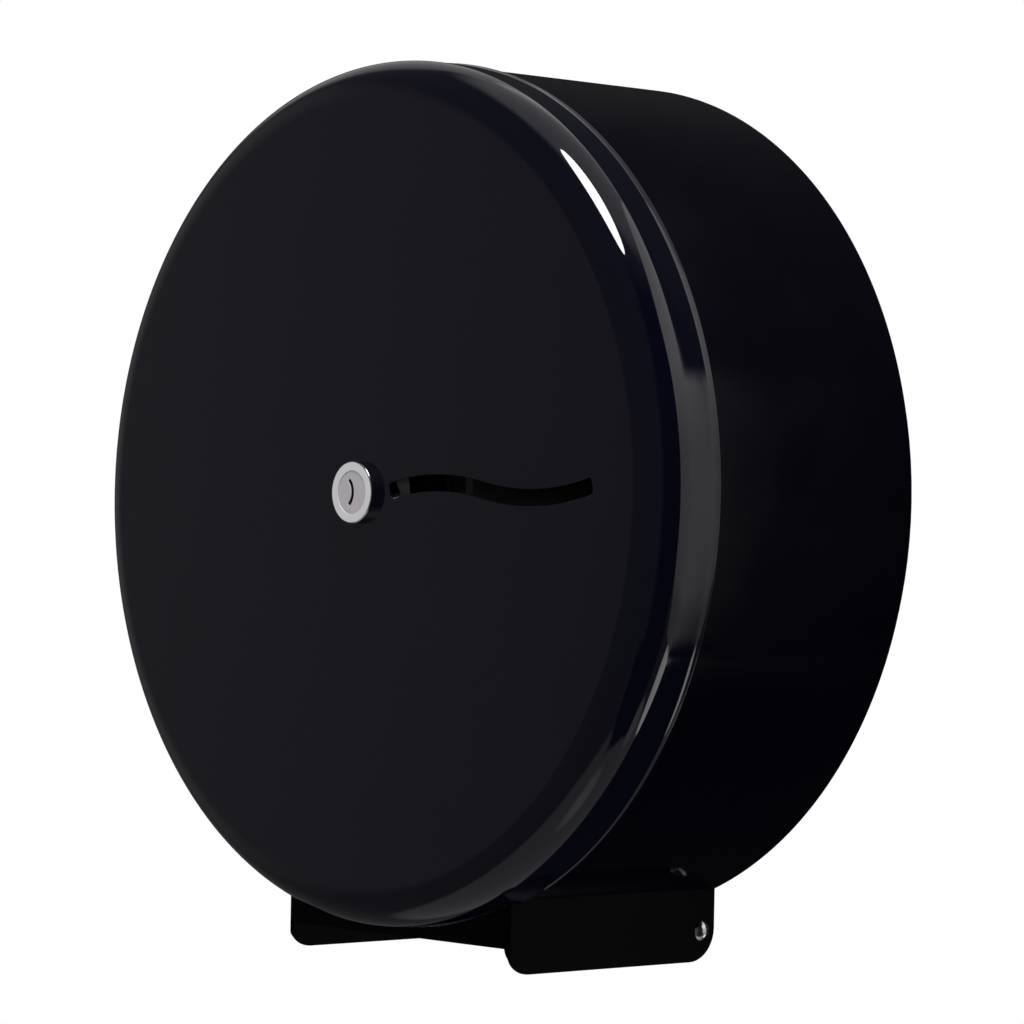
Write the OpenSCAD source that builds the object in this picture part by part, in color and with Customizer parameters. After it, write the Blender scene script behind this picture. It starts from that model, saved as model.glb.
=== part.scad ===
// Wall-mounted jumbo toilet roll dispenser: a sheet-metal shell that swings down
// on two rivets, over a back plate with a spindle, a roll hub and a latch strike.
// Every piece is drawn lying on the wall: X to the right, Y up, Z out from the wall.
// on_wall() then turns it upright, so the wall is the plane y = 0, the front faces -Y
// and the origin is the centre of the wall face, on the drum's axis.

/* [Shell] */
// Outer radius of the front cap's rim
cap_r = 140; // [120:1:165]
// Depth of the front cap, from its face to its rear edge
cap_depth = 25; // [22:0.5:32]
// Outside radius of the cap's rounded corner
cap_corner_r = 13; // [8:0.5:15]
// Sheet thickness of the cap, the band and the outlet bracket
sheet_t = 1; // [0.7:0.1:1.3]
// Depth of the swinging shell, from its rear edge to the cap's face
shell_depth = 110; // [92:0.5:135]
// Gap between the wall and the shell's rear edge
wall_gap = 6; // [5.5:0.25:8]
// Straight stretch of rim left ahead of the band's collar
collar_gap = 1; // [0.5:0.25:3]

/* [Viewing slot] */
// Width of the wavy slot that shows how much paper is left
slot_w = 5.2; // [3:0.2:8]
// Radius of the slot's corners
slot_corner_r = 1.2; // [0.6:0.1:1.4]
// Mid-line radius of the slot's two arcs
wave_r = 103; // [92:1:115]
// Distance from the lock's axis across to the wave's crest
crest_x = 38.5; // [36:0.5:42]
// Height of the wave's crest above the lock's axis
crest_y = 3.1; // [1.5:0.1:5]
// Angle from the crest on to the point where the wave turns over
turn_angle = 12; // [10:0.5:13]
// Angle from the crest back to the slot's first end
first_angle = 12.9; // [9:0.1:13.5]
// Angle from the trough on to the slot's last end
last_angle = 15.9; // [10:0.1:17]

/* [Paper outlet] */
// Outside width of the outlet bracket
outlet_w = 109.4; // [90:0.5:125]
// How far the outlet's front web stands ahead of the cap's rear edge
web_lead = 6.5; // [4:0.25:9]
// How far the front web hangs below the cap's rim
web_drop = 3; // [1.5:0.25:6]
// How far the two ears hang below the cap's rim
ear_drop = 11.4; // [10:0.2:16]
// How far the ears' top edges lie inside the cap's outer radius
ear_rise = 20; // [18:0.5:24]
// Radius of the ears' lower front corners
ear_front_r = 9.2; // [5:0.2:9.4]
// Radius of the ears' lower rear corners
ear_rear_r = 11; // [8:0.5:12]
// Outside radius of the bends between web and ears
bend_r = 2; // [1.5:0.25:3]
// Gap between the ears' inner tabs and the cap's rear edge
tab_gap = 0.5; // [0.3:0.1:1.5]

/* [Tear bar] */
// Thickness of the tear bar's sheet
bar_t = 0.8; // [0.6:0.1:1.2]
// Gap between the tear bar and the cap's rear edge
bar_gap = 1.8; // [1:0.2:4]
// Height from the tooth tips to the bar's top edge
bar_h = 16; // [12:0.5:18]
// Height of the tooth tips above the web's lower edge
bar_lift = 0.5; // [0.2:0.1:1.5]
// Length of the end tabs welded to the ears
bar_tab = 9; // [6:0.5:15]
// Height of one tooth
tooth_h = 2.5; // [1:0.25:4]
// Number of teeth along the bar
tooth_n = 26; // [14:1:40]

/* [Back plate] */
// Sheet thickness of the back plate and the hinge bracket
plate_t = 1.5; // [1.2:0.1:2]
// Radial gap between the back plate's flange and the drum band
pan_gap = 2.5; // [2:0.25:4]
// Depth of the back plate's flange
pan_depth = 16; // [12:0.5:20]
// Outside radius of the bend into the flange
pan_corner_r = 3.5; // [2.5:0.25:5]
// How far the gap in the flange reaches past the outlet bracket on each side
pan_notch = 6; // [4:0.5:10]
// Inner radius of the pressed stiffening ring
swage_r = 62; // [50:1:68]
// Width of the pressed stiffening ring
swage_w = 12; // [8:0.5:14]
// Height of the pressed stiffening ring
swage_h = 1.5; // [0.8:0.1:2]
// Distance between the wall screw holes, across and up
hole_span = 130; // [120:1:140]
// Radius of a wall screw hole
hole_r = 3.25; // [2.5:0.25:4.5]

/* [Hinge] */
// Distance from the shell's rear edge to the hinge axis
pivot_in = 5.7; // [5:0.1:6.5]
// Height of the hinge axis above the ears' lower edges
pivot_up = 10; // [8.5:0.1:10.4]
// Radius of the hinge rivets' shanks
rivet_r = 2; // [1.5:0.1:2.5]
// Radial running clearance of the ears on the rivets
pivot_play = 0.05; // [0.02:0.01:0.1]
// Radius of the hinge rivets' domed heads
rivet_head_r = 3.3; // [2.8:0.1:4]
// Height of the hinge rivets' domed heads
rivet_head_h = 1.9; // [1.2:0.1:2.5]
// Height of the formed tails inside the lugs
rivet_tail_h = 1; // [0.6:0.1:1.6]
// Radius of the hinge bracket's lugs around the axis
lug_r = 5.5; // [5.25:0.25:7]
// How far the lugs' feet end above the band's inner face
lug_lift = 1.5; // [1:0.25:3]
// Height of the lugs' feet on the bracket
lug_foot_h = 12; // [8:0.5:16]
// Thickness of the nylon hinge washers
spacer_t = 0.8; // [0.5:0.1:1.2]
// Outer radius of the nylon hinge washers
spacer_r = 5; // [4:0.25:6]
// Sideways play of the ears between washers and rivet heads
side_play = 0.15; // [0.1:0.05:0.3]
// Distance of the bracket rivets from the middle plane
bracket_rivet_x = 32; // [24:0.5:38]
// Distance from the lower bracket rivets up to the upper ones
rivet_rise = 13; // [10:0.5:18]
// Width of bracket left around its rivet heads
bracket_edge = 2; // [1:0.25:3]

/* [Spindle] */
// Radius of the spindle post
post_r = 8; // [6:0.25:9]
// Thickness of the spindle post's foot
foot_t = 2; // [1.5:0.1:3]
// Length of post in front of the circlip
post_nose = 2.9; // [2:0.1:4]
// Thickness of the spindle washers
washer_t = 1; // [0.6:0.1:1.6]
// Outer radius of the spindle washers
washer_r = 13; // [11:0.5:16]
// Thickness of the circlip
clip_t = 1; // [0.8:0.1:1.4]
// Outer radius of the circlip
clip_r = 11; // [10:0.25:12]
// Depth of the circlip's groove
groove_d = 0.8; // [0.5:0.1:1.2]
// Width of the circlip's mouth
clip_mouth = 10; // [8:0.5:10]
// Number of rivets in the foot
foot_rivet_n = 3; // [3:1:6]
// Radial gap between the foot's rivet heads and the hub's flange
foot_rivet_gap = 1; // [0.5:0.25:4]
// Width of foot left outside its rivet heads
foot_edge = 1.5; // [1:0.25:5]
// Radius of the plate rivets' shanks
plate_rivet_r = 2; // [1.5:0.1:2.5]
// Radius of the plate rivets' heads
plate_head_r = 3.5; // [3:0.1:4.2]
// Height of the plate rivets' domed heads
plate_head_h = 1.8; // [1.2:0.1:2.4]
// Depth of the plate rivets' countersinks at the wall
sink_d = 1; // [0.6:0.1:1.1]

/* [Roll hub] */
// Outer radius of the hub that carries the roll's core
hub_r = 21; // [18:0.5:24]
// Wall of the hub's outer sleeve
hub_wall = 2; // [1.5:0.1:3]
// Radius of the hub's rear flange
hub_flange_r = 27; // [24:0.5:32]
// Thickness of the hub's rear flange
hub_flange_t = 2; // [1.5:0.1:3]
// Wall of the hub's bearing tube
hub_tube_wall = 3; // [2:0.25:4]
// Number of ribs between bearing tube and sleeve
hub_ribs = 6; // [3:1:8]
// Thickness of a rib
hub_rib_t = 1.6; // [1.2:0.1:2.4]
// Lead-in chamfer at the hub's front end
hub_chamfer = 1.5; // [0.8:0.1:1.8]
// Radial running clearance of the hub on the post
hub_play = 0.05; // [0.02:0.01:0.1]
// End play of the hub at each washer
end_play = 0.3; // [0.2:0.05:0.5]

/* [Lock] */
// Radius of the lock's chromed flange
lock_flange_r = 10; // [9:0.25:12]
// Height of the lock's flange in front of the cap
lock_flange_h = 3; // [2:0.1:4]
// Chamfer of the flange's front edge
lock_chamfer = 0.3; // [0.2:0.1:1]
// Radius of the lock's barrel
barrel_r = 8.5; // [8:0.1:8.8]
// Distance of the barrel's two flats from its axis
barrel_flat = 7.8; // [7.4:0.1:7.9]
// Length of the barrel behind the cap's face
barrel_len = 15; // [14:0.25:16]
// Radius of the key plug's head
plug_r = 6.9; // [6.6:0.05:7]
// Length of the key plug's head
plug_head = 6.3; // [6.1:0.1:7]
// Radius of the key plug's shaft
plug_shaft_r = 5; // [4.6:0.1:5.5]
// Radial running clearance of the plug in the barrel
plug_play = 0.05; // [0.02:0.01:0.1]
// How far the plug's face lies behind the flange's face
plug_sink = 0.2; // [0:0.05:0.5]
// Side of the square that drives the cam
drive_w = 6; // [5:0.25:6.5]
// Clearance of the barrel in the cap, and of the lock's parts endways
lock_gap = 0.3; // [0.2:0.05:0.5]
// Thickness of the lock washer
lock_washer_t = 0.8; // [0.5:0.1:1.2]
// Outer radius of the lock washer
lock_washer_r = 11.5; // [10.5:0.25:13]
// Distance across the flats of the lock nut
nut_w = 22; // [20:0.5:24]
// Thickness of the lock nut
nut_t = 5; // [3:0.25:6]
// Width of the keyway
key_w = 1.2; // [0.9:0.05:1.4]
// Radius of the keyway's curve
key_curve_r = 5.2; // [4.8:0.1:6]
// How far the keyway's middle stands to the right of the lock's axis
key_bulge = 0.35; // [0:0.05:1]
// Half the angle that the keyway's curve turns through
key_bend = 50; // [40:1:52]
// Depth of the keyway
key_depth = 9; // [8:0.25:10]
// Number of tumbler wafers
wafer_n = 4; // [2:1:4]
// Thickness of a wafer
wafer_t = 0.8; // [0.5:0.05:0.9]
// Distance from one wafer to the next
wafer_pitch = 1.3; // [1.2:0.05:1.35]
// Width of a wafer
wafer_w = 6; // [5.5:0.1:6.2]
// Height of a wafer
wafer_h = 11.8; // [11:0.1:12]
// Width of the window in a wafer
window_w = 4; // [3.8:0.1:4.2]
// Height of the window in a wafer
window_h = 9.4; // [9.2:0.1:9.8]

/* [Latch] */
// Thickness of the cam and the strike
latch_t = 1.5; // [1.2:0.1:1.8]
// Distance from the lock's axis to the cam's tip
cam_len = 20; // [17:0.5:23]
// Width of the cam
cam_w = 12; // [10:0.5:13]
// How far the strike's lip covers the cam's tip when locked
lip_cover = 7; // [4:0.5:8]
// Gap between the cam's tip and the strike's leg
strike_gap = 1.5; // [1:0.25:3]
// Width of the strike
strike_w = 16; // [13:0.5:20]
// How far the strike's foot reaches below the spindle's axis
strike_low = 9; // [8:0.5:12]
// Radius of the small screws' heads
screw_head_r = 3.8; // [3.4:0.1:4.4]
// Height of the small screws' heads
screw_head_h = 2.2; // [1.6:0.1:2.6]
// Gap between the cam screw's head and the strike screw's head
screw_gap = 1.3; // [0.8:0.1:3]
// Radius of the cam screw's shank
cam_screw_r = 1.6; // [1.2:0.1:2]
// Length of the cam screw's shank
cam_screw_len = 8; // [6:0.25:9]
// Radius of the strike screw's shank
strike_screw_r = 2.1; // [1.6:0.1:2.6]
// Length of the strike screw's shank
strike_screw_len = 14; // [10:0.5:18]
// Width of the screwdriver slots
driver_w = 1; // [0.8:0.1:1.4]
// Depth of the screwdriver slots
driver_d = 1.1; // [0.8:0.1:1.4]

/* [Hidden] */

$fn = 96;
// Overrun that lets a cut pass right through a face
over = 1;

// Shell, as distances from the wall
shell_rear = wall_gap;
cap_front = shell_rear + shell_depth;
cap_rear = cap_front - cap_depth;
collar_end = cap_front - cap_corner_r - collar_gap;
band_r = cap_r - sheet_t;
band_in_r = band_r - sheet_t;

// Viewing slot: half the straight stretch of its ends, and its outline's steps
slot_lane = slot_w / 2 - slot_corner_r;
wave_steps = 20;
corner_steps = 5;

// Outlet bracket
ear_out = outlet_w / 2;
ear_in = ear_out - sheet_t;
ear_bottom = -cap_r - ear_drop;
ear_top = -cap_r + ear_rise;
web_front = cap_rear + web_lead;
web_bottom = -cap_r - web_drop;
tab_front = cap_rear - tab_gap;

// Tear bar
bar_front = cap_rear - bar_gap;
tip_y = web_bottom + bar_lift;
bar_top = tip_y + bar_h;
tooth_w = 2 * ear_in / tooth_n;

// Back plate
pan_r = band_in_r - pan_gap;
notch_x = ear_out + pan_notch;
notch_top = -swage_r - swage_w - over;

// Hinge
pivot_y = ear_bottom + pivot_up;
pivot_z = shell_rear + pivot_in;
spacer_out = ear_in - side_play;
lug_out = spacer_out - spacer_t;
lug_in = lug_out - plate_t;
bracket_front = 2 * plate_t;
pan_flat_r = pan_r - pan_corner_r;
low_row = -sqrt(pow(pan_flat_r - plate_head_r, 2) - pow(bracket_rivet_x, 2));
bracket_rivet_ys = [low_row, low_row + rivet_rise];
bracket_reach = plate_head_r + bracket_edge;
lug_foot = lug_lift - sqrt(pow(band_in_r, 2) - pow(lug_out, 2));

// Lock, as distances from the wall
flange_face = cap_front + lock_flange_h;
plug_face = flange_face - plug_sink;
plug_shoulder = plug_face - plug_head;
barrel_end = cap_front - barrel_len;
cam_front = barrel_end - lock_gap;
cam_rear = cam_front - latch_t;
nut_front = cap_front - sheet_t - lock_washer_t;
wafer_front = plug_face - wafer_t;
key_x = key_bulge - key_curve_r;

// Spindle, as distances from the wall: its front end follows the lock's cam
cam_screw_back = cam_rear - screw_head_h;
post_end = cam_screw_back - screw_gap - screw_head_h - latch_t;
clip_rear = post_end - post_nose - clip_t;
washer_rear = clip_rear - washer_t;
hub_front = washer_rear - end_play;
foot_front = plate_t + foot_t;
hub_rear = foot_front + washer_t + end_play;
foot_rivet_at = hub_flange_r + foot_rivet_gap + plate_head_r;
foot_r = foot_rivet_at + plate_head_r + foot_edge;
groove_r = post_r - groove_d;
hub_bore_r = post_r + hub_play;

// Latch
lip_rear = cam_front + lock_gap;
leg_y = cam_len + strike_gap;
lip_y = cam_len - lip_cover;

// ---- Helpers ----

// Turns a piece drawn on the wall plane upright
module on_wall() {
    rotate([90, 0, 0]) children();
}

// A copy on each side of the middle plane
module both_sides() {
    children();
    mirror([1, 0, 0]) children();
}

// A tube from z0 to z1
module tube(r_out, r_in, z0, z1) {
    translate([0, 0, z0]) difference() {
        cylinder(r = r_out, h = z1 - z0);
        translate([0, 0, -over]) cylinder(r = r_in, h = z1 - z0 + 2 * over);
    }
}

// A round bar from z0 to z1
module bar(r, z0, z1) {
    translate([0, 0, z0]) cylinder(r = r, h = z1 - z0);
}

// A box between two corners
module block(low, high) {
    translate(low) cube(high - low);
}

// Half section of a dish: a disc with a skirt towards the wall and a round corner
module dish_section(r, z0, z1, corner) {
    translate([0, z0]) square([r, z1 - z0 - corner]);
    translate([0, z0]) square([r - corner, z1 - z0]);
    translate([r - corner, z1 - corner]) intersection() {
        circle(corner);
        square(corner);
    }
}

// A stretch of ring about the origin, mid line at r, turning +-half about the angle mid
module arc_band(r, w, mid, half) {
    reach = 2 * (r + w);
    intersection() {
        difference() {
            circle(r + w / 2);
            circle(r - w / 2);
        }
        polygon([
            [0, 0],
            reach * [cos(mid - half), sin(mid - half)],
            reach * [cos(mid + half), sin(mid + half)]
        ]);
    }
}

// Points along an arc from the angle a to the angle b, less its first few
function arc_points(centre, r, a, b, steps, skip = 1) = [
    for (i = [skip : steps]) let (t = a + (b - a) * i / steps) centre + r * [cos(t), sin(t)]
];

// A domed head of radius r and height h, standing on z = 0
module dome(r, h) {
    ball_r = (r * r + h * h) / (2 * h);
    intersection() {
        translate([0, 0, h - ball_r]) sphere(ball_r);
        cylinder(r = r + over, h = h + over);
    }
}

// A rivet through the back plate, countersunk flush at the wall, domed at z = grip
module plate_rivet(grip) {
    cylinder(r = plate_rivet_r, h = grip);
    sink_cone();
    translate([0, 0, grip]) dome(plate_head_r, plate_head_h);
}

// The countersunk end of a plate rivet, and the seat cut for it
module sink_cone() {
    cylinder(r1 = plate_head_r, r2 = plate_rivet_r, h = sink_d);
}

// A cheese-head screw: slotted head from z = 0 down, shank from z = 0 up
module slotted_screw(shank_r, shank_len) {
    cylinder(r = shank_r, h = shank_len);
    difference() {
        translate([0, 0, -screw_head_h]) cylinder(r = screw_head_r, h = screw_head_h);
        block([-screw_head_r - over, -driver_w / 2, -screw_head_h - over],
            [screw_head_r + over, driver_w / 2, driver_d - screw_head_h]);
    }
}

// Positions of the spindle foot's rivets
module at_foot_rivets() {
    for (i = [0 : foot_rivet_n - 1]) rotate(i * 360 / foot_rivet_n)
        translate([0, foot_rivet_at, 0]) children();
}

// Positions of the hinge bracket's four rivets
module at_bracket_rivets() {
    for (x = [-1, 1]) for (y = bracket_rivet_ys)
        translate([x * bracket_rivet_x, y, 0]) children();
}

// Turns a piece drawn along Z so that it lies along X on the hinge axis
module on_pivot() {
    translate([0, pivot_y, pivot_z]) rotate([0, 90, 0]) children();
}

// ---- Back plate and hinge ----

module pan_section() {
    difference() {
        translate([0, pan_depth]) mirror([0, 1])
            dish_section(pan_r, 0, pan_depth, pan_corner_r);
        translate([0, pan_depth + over]) mirror([0, 1])
            dish_section(pan_r - plate_t, 0, pan_depth + over - plate_t, pan_corner_r - plate_t);
        translate([swage_r + plate_t, -over])
            square([swage_w - 2 * plate_t, over + swage_h]);
    }
    difference() {
        translate([swage_r, 0]) square([swage_w, plate_t + swage_h]);
        translate([swage_r + plate_t, -over])
            square([swage_w - 2 * plate_t, over + swage_h]);
    }
}

module back_plate() {
    color("#1b1b20") on_wall() difference() {
        rotate_extrude() pan_section();
        block([-notch_x, -pan_r - over, plate_t], [notch_x, notch_top, pan_depth + over]);
        for (x = [-1, 1]) for (y = [-1, 1])
            translate([x * hole_span / 2, y * hole_span / 2, -over])
                cylinder(r = hole_r, h = plate_t + 2 * over);
        at_foot_rivets() plate_rivet_seat();
        at_bracket_rivets() plate_rivet_seat();
    }
}

// The hole and countersink that a plate rivet fills
module plate_rivet_seat() {
    translate([0, 0, -over]) cylinder(r = plate_rivet_r, h = plate_t + 2 * over);
    sink_cone();
}

// A lug: its foot stands on the bracket, its leg hangs down beside the ear to the axis
module hinge_lug() {
    foot_corner = [lug_out, lug_foot + lug_foot_h, pivot_z + lug_r];
    block([lug_in, lug_foot, plate_t], foot_corner);
    block([lug_in, pivot_y, pivot_z - lug_r], foot_corner);
    on_pivot() bar(lug_r, lug_in, lug_out);
}

module hinge_bracket() {
    strip_x = bracket_rivet_x + bracket_reach;
    top = low_row + rivet_rise + bracket_reach;
    color("#1b1b20") on_wall() difference() {
        union() {
            block([-lug_out, lug_foot, plate_t], [lug_out, top, bracket_front]);
            block([-strip_x, low_row - bracket_reach, plate_t], [strip_x, top, bracket_front]);
            both_sides() hinge_lug();
        }
        both_sides() on_pivot() bar(rivet_r, lug_in - over, lug_out + over);
        at_bracket_rivets() cylinder(r = plate_rivet_r, h = bracket_front + over);
    }
}

module bracket_rivets() {
    color("silver") on_wall() at_bracket_rivets() plate_rivet(bracket_front);
}

module hinge_rivets() {
    color("silver") on_wall() both_sides() on_pivot() {
        bar(rivet_r, lug_in, ear_out + side_play);
        bar(rivet_head_r, lug_in - rivet_tail_h, lug_in);
        translate([0, 0, ear_out + side_play]) dome(rivet_head_r, rivet_head_h);
    }
}

module hinge_washers() {
    color("ivory") on_wall() both_sides() on_pivot() tube(spacer_r, rivet_r, lug_out, spacer_out);
}

// ---- Spindle and hub ----

module spindle_post() {
    color("gainsboro") on_wall() difference() {
        union() {
            bar(foot_r, plate_t, foot_front);
            bar(post_r, foot_front, post_end);
        }
        tube(post_r + over, groove_r, clip_rear, clip_rear + clip_t);
        bar(strike_screw_r, post_end + latch_t - strike_screw_len, post_end + over);
        at_foot_rivets() cylinder(r = plate_rivet_r, h = foot_front + over);
    }
}

module spindle_rivets() {
    color("silver") on_wall() at_foot_rivets() plate_rivet(foot_front);
}

module rear_washer() {
    color("gainsboro") on_wall() tube(washer_r, post_r, foot_front, foot_front + washer_t);
}

module front_washer() {
    color("gainsboro") on_wall() tube(washer_r, post_r, washer_rear, washer_rear + washer_t);
}

module spindle_circlip() {
    color("dimgray") on_wall() difference() {
        tube(clip_r, groove_r, clip_rear, clip_rear + clip_t);
        block([-clip_mouth / 2, -clip_r - over, clip_rear - over],
            [clip_mouth / 2, 0, clip_rear + clip_t + over]);
    }
}

module core_hub() {
    tube_r = hub_bore_r + hub_tube_wall;
    sleeve_in = hub_r - hub_wall;
    color("lightgray") on_wall() difference() {
        union() {
            bar(hub_flange_r, hub_rear, hub_rear + hub_flange_t);
            tube(hub_r, sleeve_in, hub_rear, hub_front - hub_chamfer);
            translate([0, 0, hub_front - hub_chamfer]) difference() {
                cylinder(r1 = hub_r, r2 = hub_r - hub_chamfer, h = hub_chamfer);
                translate([0, 0, -over]) cylinder(r = sleeve_in, h = hub_chamfer + 2 * over);
            }
            bar(tube_r, hub_rear, hub_front);
            for (i = [0 : hub_ribs - 1]) rotate(i * 360 / hub_ribs)
                block([post_r + hub_tube_wall / 2, -hub_rib_t / 2, hub_rear],
                    [hub_r - hub_wall / 2, hub_rib_t / 2, hub_front - hub_chamfer]);
        }
        bar(hub_bore_r, hub_rear - over, hub_front + over);
    }
}

// ---- Latch ----

module latch_strike() {
    half_w = strike_w / 2;
    top = leg_y + latch_t;
    color("gainsboro") on_wall() difference() {
        union() {
            block([-half_w, -strike_low, post_end], [half_w, top, post_end + latch_t]);
            block([-half_w, leg_y, post_end], [half_w, top, lip_rear + latch_t]);
            block([-half_w, lip_y, lip_rear], [half_w, top, lip_rear + latch_t]);
        }
        bar(strike_screw_r, post_end - over, post_end + latch_t + over);
    }
}

module strike_screw() {
    color("silver") on_wall() translate([0, 0, post_end + latch_t]) rotate([180, 0, 0])
        slotted_screw(strike_screw_r, strike_screw_len);
}

module lock_cam() {
    round_x = cam_len - cam_w / 2;
    color("gainsboro") on_wall() translate([0, 0, cam_rear]) linear_extrude(latch_t)
        difference() {
            union() {
                circle(cam_w / 2);
                translate([-round_x, 0]) circle(cam_w / 2);
                translate([-round_x, -cam_w / 2]) square([round_x, cam_w]);
            }
            square(drive_w, center = true);
        }
}

module cam_screw() {
    color("silver") on_wall() translate([0, 0, cam_rear])
        slotted_screw(cam_screw_r, cam_screw_len);
}

// ---- Lock ----

// The barrel's round outline with two flats, grown by gap
module barrel_outline(gap) {
    intersection() {
        circle(barrel_r + gap);
        square([2 * (barrel_flat + gap), 2 * (barrel_r + gap)], center = true);
    }
}

module lock_housing() {
    bore_r = plug_r + plug_play;
    color("silver") on_wall() difference() {
        union() {
            bar(lock_flange_r, cap_front, flange_face - lock_chamfer);
            translate([0, 0, flange_face - lock_chamfer])
                cylinder(r1 = lock_flange_r, r2 = lock_flange_r - lock_chamfer, h = lock_chamfer);
            translate([0, 0, barrel_end]) linear_extrude(barrel_len) barrel_outline(0);
        }
        bar(bore_r, plug_shoulder - lock_gap, flange_face + over);
        bar(plug_shaft_r + plug_play, barrel_end - over, flange_face);
    }
}

module lock_washer() {
    color("silver") on_wall() translate([0, 0, nut_front]) linear_extrude(lock_washer_t)
        difference() {
            circle(lock_washer_r);
            barrel_outline(0);
        }
}

module lock_nut() {
    color("silver") on_wall() difference() {
        translate([0, 0, nut_front - nut_t])
            cylinder(r = nut_w / 2 / cos(30), h = nut_t, $fn = 6);
        bar(barrel_r, nut_front - nut_t - over, nut_front + over);
    }
}

// The curved keyway's outline, bulging to the right
module keyway() {
    translate([key_x, 0]) arc_band(key_curve_r, key_w, 0, key_bend);
}

// One cell of the wafer stack: children drawn at each wafer's rear face
module at_wafers() {
    for (i = [0 : wafer_n - 1])
        translate([0, 0, wafer_front - wafer_t - i * wafer_pitch]) children();
}

module lock_plug() {
    color("lightslategray") on_wall() difference() {
        union() {
            bar(plug_r, plug_shoulder, plug_face);
            bar(plug_shaft_r, cam_front, plug_shoulder);
            translate([0, 0, cam_rear + latch_t / 2])
                cube([drive_w, drive_w, latch_t], center = true);
        }
        translate([0, 0, plug_face - key_depth]) linear_extrude(key_depth + over) keyway();
        at_wafers() linear_extrude(wafer_t) square([wafer_w, wafer_h], center = true);
        bar(cam_screw_r, cam_rear - over, cam_rear + cam_screw_len);
    }
}

module lock_wafers() {
    color("goldenrod") on_wall() at_wafers() linear_extrude(wafer_t) difference() {
        square([wafer_w, wafer_h], center = true);
        square([window_w, window_h], center = true);
    }
}

// ---- Shell ----

module drum_band() {
    color("#141419") on_wall() difference() {
        tube(band_r, band_in_r, shell_rear, collar_end);
        block([-ear_out, -cap_r, shell_rear - over], [ear_out, 0, cap_rear]);
    }
}

// One rounded end of the slot, at the angle a about the arc's centre
function slot_end(centre, a) = concat(
    arc_points(centre + (wave_r - slot_lane) * [cos(a), sin(a)], slot_corner_r,
        a + 180, a + 90, corner_steps),
    arc_points(centre + (wave_r + slot_lane) * [cos(a), sin(a)], slot_corner_r,
        a + 90, a, corner_steps, 0)
);

// The wavy viewing slot, as an outline on the cap's face
module wave_slot() {
    outer = wave_r + slot_w / 2;
    inner = wave_r - slot_w / 2;
    low = [crest_x, crest_y - wave_r];
    high = low + 2 * wave_r * [sin(turn_angle), cos(turn_angle)];
    ease = slot_corner_r / wave_r * 180 / PI;
    first = 90 + first_angle - ease;
    last = last_angle - ease - 90;
    polygon(concat(
        arc_points(low, outer, first, 90 - turn_angle, wave_steps),
        arc_points(high, inner, -90 - turn_angle, last, wave_steps),
        slot_end(high, last),
        arc_points(high, outer, last, -90 - turn_angle, wave_steps),
        arc_points(low, inner, 90 - turn_angle, first, wave_steps),
        slot_end(low, first)
    ));
}

module cap_section() {
    edge_r = sheet_t / 2;
    difference() {
        dish_section(cap_r, cap_rear + edge_r, cap_front, cap_corner_r);
        dish_section(band_r, cap_rear - over, cap_front - sheet_t, cap_corner_r - sheet_t);
    }
    translate([cap_r - edge_r, cap_rear + edge_r]) circle(edge_r);
}

module front_cap() {
    color("#17171c") on_wall() difference() {
        rotate_extrude() cap_section();
        translate([0, 0, cap_front - sheet_t - over]) linear_extrude(sheet_t + 2 * over) {
            wave_slot();
            barrel_outline(lock_gap);
        }
    }
}

// Plan of the bent outlet sheet: x across, y out from the wall
module outlet_plan(half_w, front, r) {
    translate([-half_w, 0]) square([2 * half_w, front - r]);
    translate([r - half_w, 0]) square([2 * (half_w - r), front]);
    for (x = [-1, 1]) translate([x * (half_w - r), front - r]) circle(r);
}

// Side view of an ear: x out from the wall, y up
module ear_side() {
    rear = shell_rear + ear_rear_r;
    front = web_front - ear_front_r;
    ear_h = ear_top - ear_bottom;
    translate([rear, ear_bottom]) square([front - rear, ear_h]);
    translate([shell_rear, ear_bottom + ear_rear_r]) square([ear_rear_r, ear_h - ear_rear_r]);
    translate([front, ear_bottom + ear_front_r]) square([ear_front_r, ear_h - ear_front_r]);
    translate([rear, ear_bottom + ear_rear_r]) circle(ear_rear_r);
    translate([front, ear_bottom + ear_front_r]) circle(ear_front_r);
}

module outlet_bracket() {
    inner_w = ear_out - bend_r;
    color("#17171c") on_wall() difference() {
        intersection() {
            rotate([90, 0, 0]) linear_extrude(cap_r + ear_drop) difference() {
                outlet_plan(ear_out, web_front, bend_r);
                translate([0, -over])
                    outlet_plan(ear_in, web_front - sheet_t + over, bend_r - sheet_t);
            }
            rotate([0, -90, 0]) linear_extrude(outlet_w, center = true) ear_side();
        }
        bar(cap_r, tab_front, web_front + over);
        block([-inner_w, ear_bottom - over, tab_front], [inner_w, web_bottom, web_front + over]);
        both_sides() on_pivot() bar(rivet_r + pivot_play, ear_in - over, ear_out + over);
    }
}

// Front view of the tear bar: a strip with teeth along its lower edge
module tear_teeth() {
    polygon(concat(
        [[ear_in, bar_top], [-ear_in, bar_top]],
        [for (i = [0 : tooth_n - 1]) each [
            [-ear_in + i * tooth_w, tip_y + tooth_h],
            [-ear_in + (i + 0.5) * tooth_w, tip_y]
        ]],
        [[ear_in, tip_y + tooth_h]]
    ));
}

module tear_bar() {
    color("gainsboro") on_wall() {
        translate([0, 0, bar_front - bar_t]) linear_extrude(bar_t) tear_teeth();
        both_sides() block([ear_in - bar_t, tip_y + tooth_h, bar_front - bar_tab],
            [ear_in, bar_top, bar_front]);
    }
}

back_plate();
hinge_bracket();
bracket_rivets();
hinge_rivets();
hinge_washers();
spindle_post();
spindle_rivets();
rear_washer();
front_washer();
spindle_circlip();
core_hub();
latch_strike();
strike_screw();
drum_band();
front_cap();
outlet_bracket();
tear_bar();
lock_housing();
lock_washer();
lock_nut();
lock_plug();
lock_wafers();
lock_cam();
cam_screw();
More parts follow.
